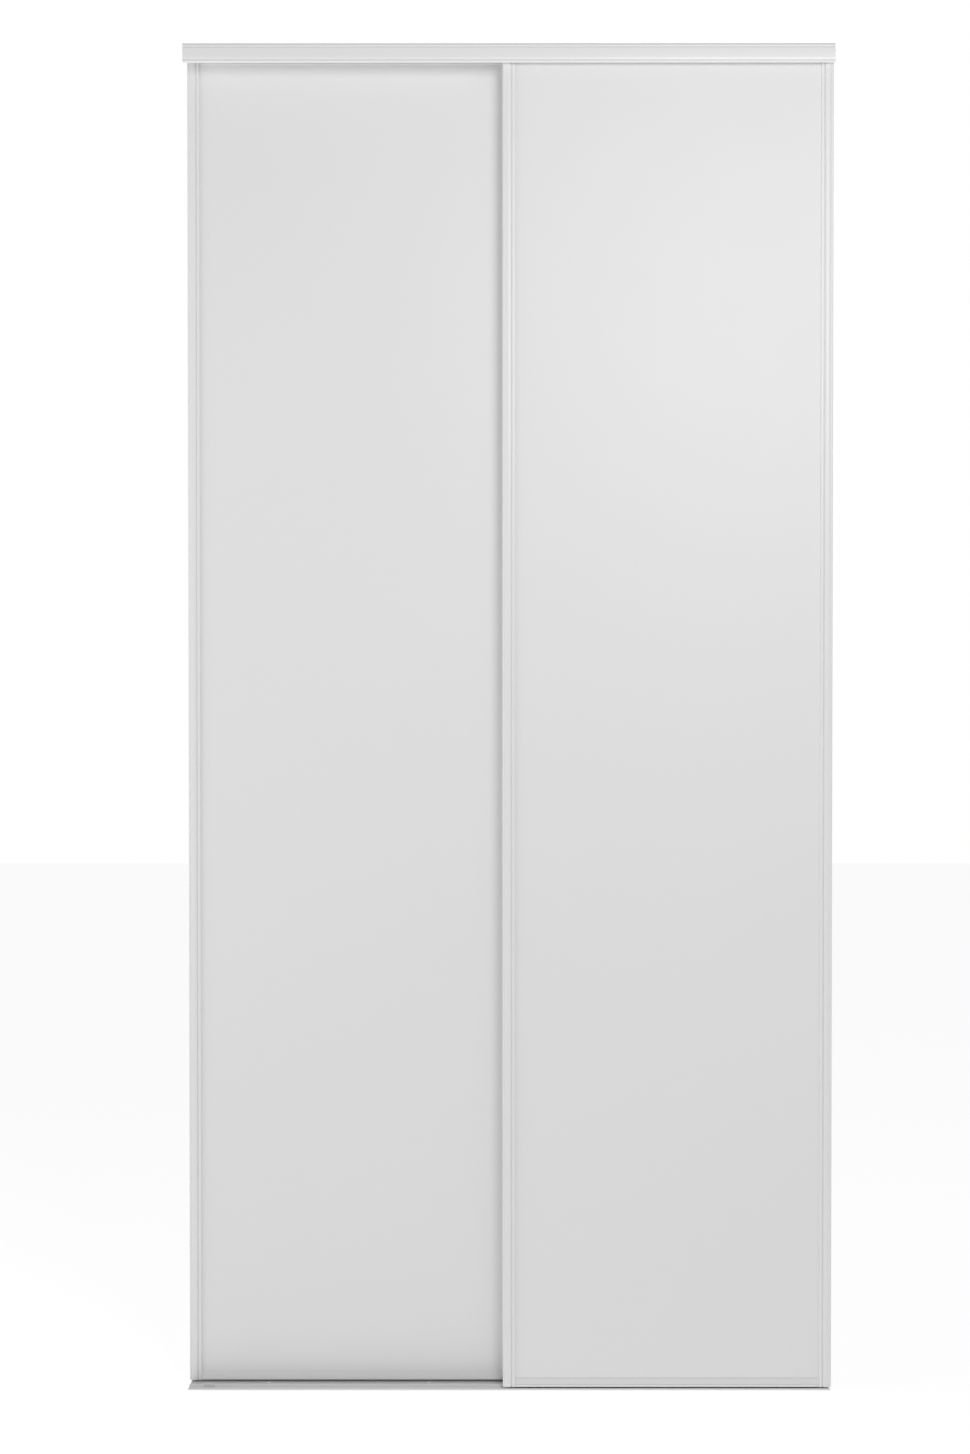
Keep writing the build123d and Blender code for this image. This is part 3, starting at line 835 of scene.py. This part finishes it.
def drive(name, seats, screw):
    """A screw in each seat, given as pairs of place and outward direction."""
    data = bpy.data.meshes.new(name)
    data.from_pydata([place for place, _ in seats], [], [])
    stored = data.attributes.new("facing", "FLOAT_VECTOR", "POINT")
    for index, (_, out) in enumerate(seats):
        stored.data[index].vector = out
    piece = bpy.data.objects.new(name, data)
    bpy.context.scene.collection.objects.link(piece)
    run_tree(piece, driven, driven_keys, {"Screw": screw, "Finish": zinc_steel})
    return tidy_faces(piece)


# %% Frame screws
SEAT_DEPTH = 3.2 * MM
for door in ("front", "rear"):
    left_low, left_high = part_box(f"{door}_left_stile")
    right_low, right_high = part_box(f"{door}_right_stile")
    rail_low, rail_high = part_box(f"{door}_bottom_rail")
    screw_y = left_low.y + SIDE_SCREW_BACK
    heights = (left_low.z + SIDE_SCREW_IN, left_high.z - SIDE_SCREW_IN)
    side_seats = [((left_low.x + SEAT_DEPTH, screw_y, z), (-1.0, 0.0, 0.0)) for z in heights]
    side_seats += [((right_high.x - SEAT_DEPTH, screw_y, z), (1.0, 0.0, 0.0)) for z in heights]
    rear_seats = []
    for x in (rail_low.x + BLOCK_SCREW_IN, rail_high.x - BLOCK_SCREW_IN):
        for z in (left_low.z + BOTTOM_SCREW_UP, left_high.z - TOP_SCREW_DOWN):
            rear_seats.append(((x, rail_high.y, z), (0.0, 1.0, 0.0)))
    first = drive(f"{door}_side_screws", side_seats, side_screw)
    second = drive(f"{door}_rear_screws", rear_seats, rear_screw)
    stands_for(first, f"{door}_frame_screws")
    stands_for(second, f"{door}_frame_screws")
for pattern_screw in (side_screw, rear_screw):
    bpy.data.objects.remove(pattern_screw)

# %% [markdown]
# A spring pushes each guide shoe up into its channel, and the shoe presses it shorter on its way down.
# Here it is one wire wound on a spiral at one fixed length, seated on its lower end.

# %% Guide springs
coil, entry, coil_keys = geometry_tree(
    "wound_spring",
    {"Turns": "Float", "Radius": "Float", "Height": "Float", "Wire": "Float", "Finish": "Material"},
)
spiral = entry.node(
    "GeometryNodeCurveSpiral",
    {
        "Resolution": 24,
        "Rotations": entry.other("Turns"),
        "Start Radius": entry.other("Radius"),
        "End Radius": entry.other("Radius"),
        "Height": entry.other("Height"),
    },
)
wire = entry.node("GeometryNodeCurvePrimitiveCircle", {"Resolution": 10, "Radius": entry.other("Wire")})
wound = entry.node("GeometryNodeCurveToMesh", {"Curve": spiral, "Profile Curve": wire, "Fill Caps": True})
end_tree(wound, entry.other("Finish"))
SPRING_WIRE = 0.6 * MM
SPRING_TURNS = 6.0
for door in ("front", "rear"):
    for side in SIDES:
        node = f"{door}_{side}_guide_spring"
        low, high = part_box(node)
        length = high.z - low.z
        data = bpy.data.meshes.new(f"{node}_wire")
        spring = bpy.data.objects.new(f"{node}_wire", data)
        bpy.context.scene.collection.objects.link(spring)
        values = {"Turns": SPRING_TURNS, "Radius": (high.y - low.y) / 2.0 - SPRING_WIRE}
        values.update({"Height": length - 2.0 * SPRING_WIRE, "Wire": SPRING_WIRE, "Finish": spring_steel})
        run_tree(spring, coil, coil_keys, values)
        middle = (low + high) / 2.0
        seat = Vector((middle.x, middle.y, low.z + SPRING_WIRE))
        spring.data.transform(Matrix.Translation(seat))
        tidy_faces(spring)
        stands_for(spring, node)
        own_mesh(spring)

# %% [markdown]
# The boards, rollers, guide housings, shoes and stops keep their shapes from the frame and only
# take their finishes. The words in a node's name say what it is made of. Nodes that a piece
# stands for are given a finish too.

# %% Finishes for the frame's own pieces
NODE_FINISHES = {
    "door_panel": white_facing,
    "stop": stop_plastic,
    "roller_housing": nylon_grey,
    "guide_housing": nylon_grey,
    "roller_wheel": nylon_white,
    "guide_shoe": nylon_white,
    "roller_fork": zinc_steel,
    "height_adjuster": zinc_steel,
    "roller_axle": bearing_steel,
    "roller_bearing": bearing_steel,
    "guide_spring": spring_steel,
    "stile": frame_lacquer,
    "rail": frame_lacquer,
    "track": track_lacquer,
    "frame_screws": zinc_steel,
}
for node, piece in frame["nodes"].items():
    finish = next(material for word, material in NODE_FINISHES.items() if word in node)
    piece.data.materials.clear()
    piece.data.materials.append(finish)
print("finished nodes:", len(frame["nodes"]))

# %% [markdown]
# The floor is plain and pale. It gives back nearly as much light as the white around it, so it
# only shows where the tracks darken it.

# %% Floor
floor_data = bpy.data.meshes.new("floor")
FLOOR_HALF = 12.0
FLOOR_GLOW = 0.85
corners = [(x * FLOOR_HALF, y * FLOOR_HALF, 0.0) for x, y in ((-1, -1), (1, -1), (1, 1), (-1, 1))]
floor_data.from_pydata(corners, [], [(0, 1, 2, 3)])
floor = bpy.data.objects.new("floor", floor_data)
bpy.context.scene.collection.objects.link(floor)
floor_finish = Finish("floor", (0.3, 0.3, 0.3), 0.9)
floor_finish.shader.inputs["Emission Color"].default_value = (1.0, 1.0, 1.0, 1.0)
floor_finish.shader.inputs["Emission Strength"].default_value = FLOOR_GLOW
floor_data.materials.append(floor_finish.material)
